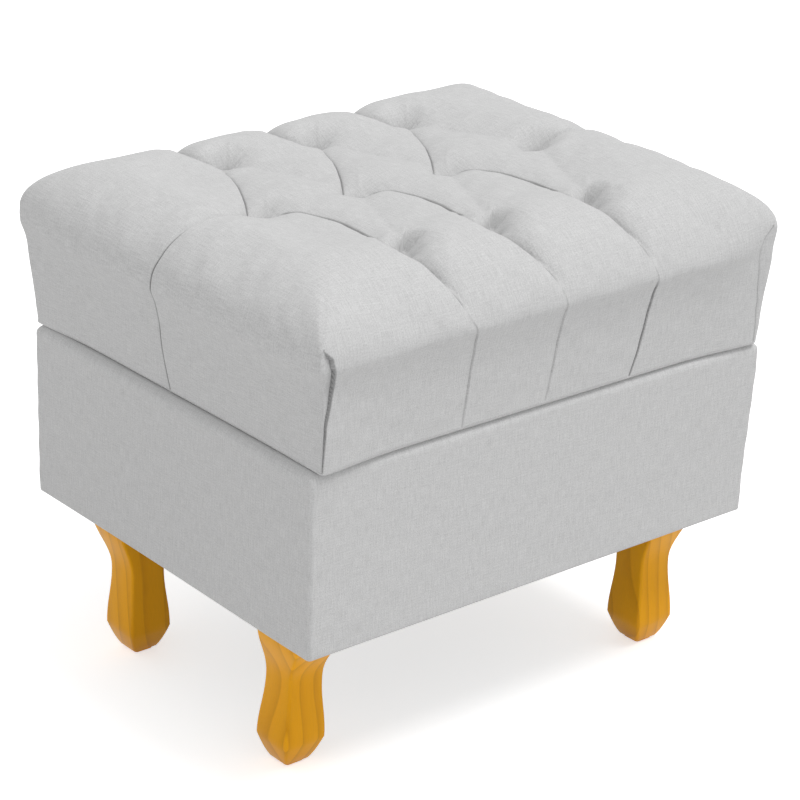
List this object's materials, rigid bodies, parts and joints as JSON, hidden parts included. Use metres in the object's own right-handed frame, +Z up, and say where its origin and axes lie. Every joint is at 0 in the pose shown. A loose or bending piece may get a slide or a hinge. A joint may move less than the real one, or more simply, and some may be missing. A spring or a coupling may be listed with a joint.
{
  "type": "tufted pouf",
  "caption": "Low rectangular upholstered pouf: a diamond-tufted cushion with drawn-in sides on a plain covered box, standing on short curved wooden legs.",
  "frame": {"origin": "on the floor under the middle of the pouf, at the bottom centre of its bounding box", "axes": "+X along the long side to the right, +Y from the front to the back, +Z up"},
  "size_m": [0.487, 0.411, 0.446],
  "materials": {
    "linen": "matt light-grey linen-look weave with fine vertical slubs",
    "varnished_pine": "honey-yellow varnish, glossy, with darker grain lines",
    "board": "raw plywood",
    "batten": "raw sawn pine",
    "foam": "open-cell upholstery foam",
    "dust_cloth": "thin black non-woven cloth",
    "steel": "plain zinc-plated steel",
    "yellow_zinc": "yellow zinc-plated steel",
    "twine": "waxed upholstery twine"
  },
  "bodies": {
    "root": {"leg_front_left": "varnished_pine", "leg_front_right": "varnished_pine", "leg_back_left": "varnished_pine", "leg_back_right": "varnished_pine", "leg_bolts": "steel", "tee_nuts": "steel", "frame_front": "board", "frame_back": "board", "frame_left": "board", "frame_right": "board", "corner_blocks": "batten", "leg_rail_left": "board", "leg_rail_right": "board", "centre_brace": "board", "cleat_front": "batten", "cleat_back": "batten", "frame_screws": "yellow_zinc", "base_pad_front": "foam", "base_pad_back": "foam", "base_pad_left": "foam", "base_pad_right": "foam", "base_cover_front": "linen", "base_cover_back": "linen", "base_cover_left": "linen", "base_cover_right": "linen", "cover_staples": "steel", "bottom_cloth": "dust_cloth", "cloth_staples": "steel", "seat_board": "board", "seat_screws": "yellow_zinc", "seat_foam": "foam", "seat_cover": "linen", "tuft_twines": "twine", "twine_staples": "steel"}
  },
  "joints": []
}
